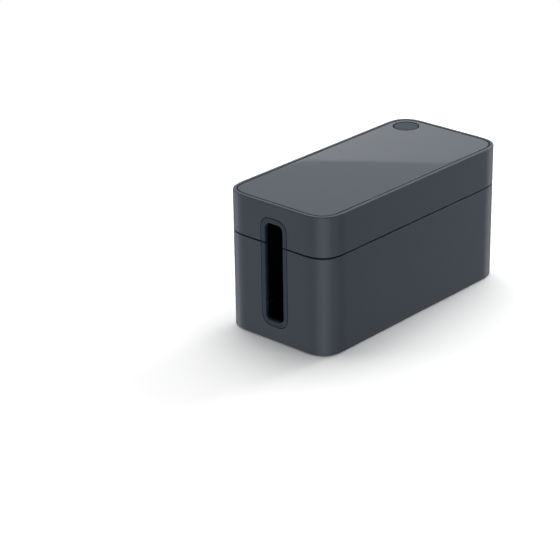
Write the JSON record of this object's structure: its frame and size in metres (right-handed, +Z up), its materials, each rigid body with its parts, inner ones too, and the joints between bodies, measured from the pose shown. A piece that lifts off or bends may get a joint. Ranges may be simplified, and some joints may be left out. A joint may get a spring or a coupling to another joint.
{
  "type": "cable management box",
  "caption": "Rounded plastic box that hides a socket strip, with a lift-off lid, a soft-lined cable slot in each end and a plugged cable outlet in the lid.",
  "frame": {"origin": "on the ground under the middle of the box", "axes": "+X along the box to the end with the lid's outlet, +Y across it to the long side nearest that outlet, +Z up"},
  "size_m": [0.246, 0.116, 0.128],
  "materials": {
    "shell_plastic": "fine spark-eroded texture, satin",
    "plate_plastic": "smooth, semi-gloss",
    "trim_rubber": "soft-touch, matt",
    "plug_rubber": "soft-touch, matt",
    "foot_rubber": "matt"
  },
  "bodies": {
    "tub": {"tub_shell": "shell_plastic", "slot_trim_lower_left": "trim_rubber", "slot_trim_lower_right": "trim_rubber", "foot_front_left": "foot_rubber", "foot_front_right": "foot_rubber", "foot_rear_left": "foot_rubber", "foot_rear_right": "foot_rubber"},
    "lid": {"lid_shell": "shell_plastic", "top_plate": "plate_plastic", "slot_trim_upper_left": "trim_rubber", "slot_trim_upper_right": "trim_rubber"},
    "plug": {"outlet_plug": "plug_rubber"}
  },
  "joints": [
    {"name": "lid_lift", "type": "slide", "parent": "tub", "child": "lid", "axis": [0, 0, 1], "range_m": [0, 0.08]},
    {"name": "plug_pull", "type": "slide", "parent": "lid", "child": "plug", "axis": [0, 0, 1], "range_m": [0, 0.02]}
  ]
}
